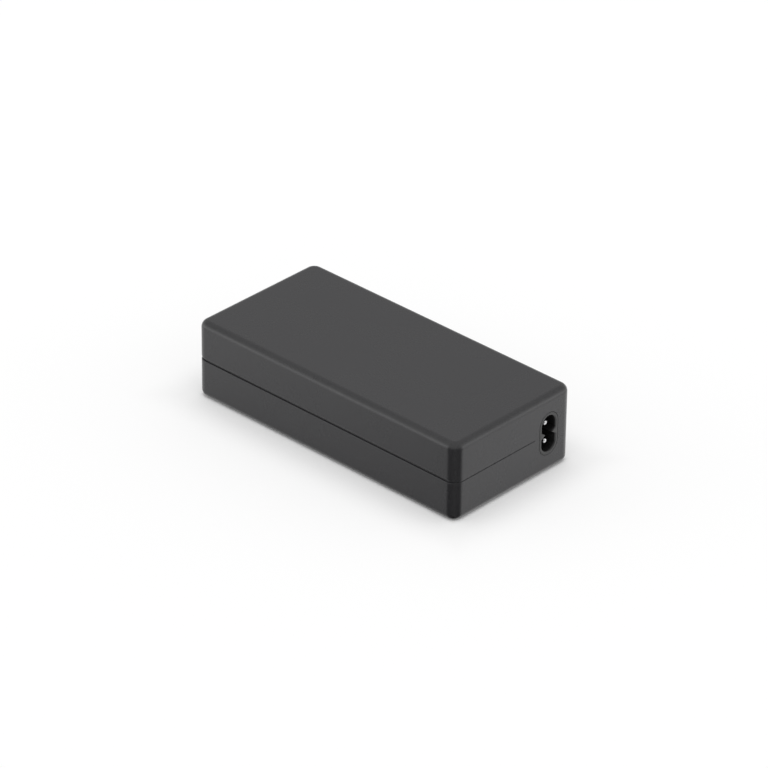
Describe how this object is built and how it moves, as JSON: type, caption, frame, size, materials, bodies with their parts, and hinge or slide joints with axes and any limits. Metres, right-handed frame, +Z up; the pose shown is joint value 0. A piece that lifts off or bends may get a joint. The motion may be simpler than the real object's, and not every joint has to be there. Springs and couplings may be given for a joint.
{
  "type": "laptop power adapter",
  "caption": "Flat rectangular laptop power adapter: split plastic case on rubber feet, upright figure-of-eight mains inlet in one end, lead gland in the other, circuit board inside.",
  "frame": {"origin": "on the surface it stands on, under the middle of the case", "axes": "+X along the case towards the end with the mains inlet, +Y across it towards the side the inlet is nearer to, +Z up"},
  "size_m": [0.146, 0.07, 0.0359],
  "materials": {
    "case_plastic": "fine satin texture",
    "inlet_plastic": "smooth, slightly glossy",
    "gland_rubber": "matte",
    "foot_rubber": "matte",
    "pin_metal": "bright nickel plate",
    "tinned_metal": "tin plate",
    "brown_wire": "wire insulation",
    "blue_wire": "wire insulation",
    "board_laminate": "green solder mask",
    "sheet_aluminium": "mill finish",
    "insulating_film": "thin translucent film",
    "fuse_body": "ceramic body with metal caps",
    "film_capacitor": "smooth moulded box",
    "varistor_coat": "dipped epoxy",
    "thermistor_coat": "dipped epoxy",
    "ring_core": "coated ferrite",
    "copper_wire": "enamelled wire",
    "triple_wire": "triple-insulated wire",
    "bobbin_plastic": "moulded phenolic",
    "ferrite": "ground ferrite",
    "package_epoxy": "moulded epoxy",
    "bulk_sleeve": "shrink sleeve on an aluminium can",
    "capacitor_sleeve": "shrink sleeve on an aluminium can",
    "thermal_pad": "soft silicone",
    "insulator_pad": "silicone-glass pad",
    "disc_blue": "dipped epoxy",
    "white_package": "moulded epoxy"
  },
  "bodies": {
    "root": {"top_shell": "case_plastic", "bottom_shell": "case_plastic", "rubber_feet": "foot_rubber", "inlet_housing": "inlet_plastic", "inlet_pin_upper": "pin_metal", "inlet_pin_lower": "pin_metal", "inlet_wire_upper": "brown_wire", "inlet_wire_lower": "blue_wire", "output_gland": "gland_rubber", "circuit_board": "board_laminate", "lower_heat_spreader": "sheet_aluminium", "lower_insulating_sheet": "insulating_film", "upper_heat_spreader": "sheet_aluminium", "upper_insulating_sheet": "insulating_film", "fuse": "fuse_body", "line_capacitor": "film_capacitor", "surge_varistor": "varistor_coat", "inrush_thermistor": "thermistor_coat", "filter_choke_core": "ring_core", "filter_choke_winding_left": "copper_wire", "filter_choke_winding_right": "copper_wire", "filter_choke_base": "bobbin_plastic", "bridge_rectifier": "package_epoxy", "bulk_capacitor": "bulk_sleeve", "boost_choke_core_lower": "ferrite", "boost_choke_core_upper": "ferrite", "boost_choke_bobbin": "bobbin_plastic", "boost_choke_winding": "copper_wire", "primary_heat_sink": "sheet_aluminium", "primary_thermal_pad": "thermal_pad", "switch_transistors": "package_epoxy", "switch_insulators": "insulator_pad", "transformer_core_lower": "ferrite", "transformer_core_upper": "ferrite", "transformer_bobbin": "bobbin_plastic", "primary_winding": "copper_wire", "secondary_winding": "triple_wire", "transformer_pins": "tinned_metal", "transformer_thermal_pad": "thermal_pad", "safety_capacitor": "disc_blue", "optocoupler": "white_package", "controller_chip": "package_epoxy", "output_heat_sink": "sheet_aluminium", "output_thermal_pad": "thermal_pad", "output_rectifiers": "package_epoxy", "rectifier_insulators": "insulator_pad", "fixing_screws": "tinned_metal", "output_capacitors": "capacitor_sleeve", "output_choke_core": "ferrite", "output_choke_winding": "copper_wire", "output_terminals": "tinned_metal"}
  },
  "joints": []
}
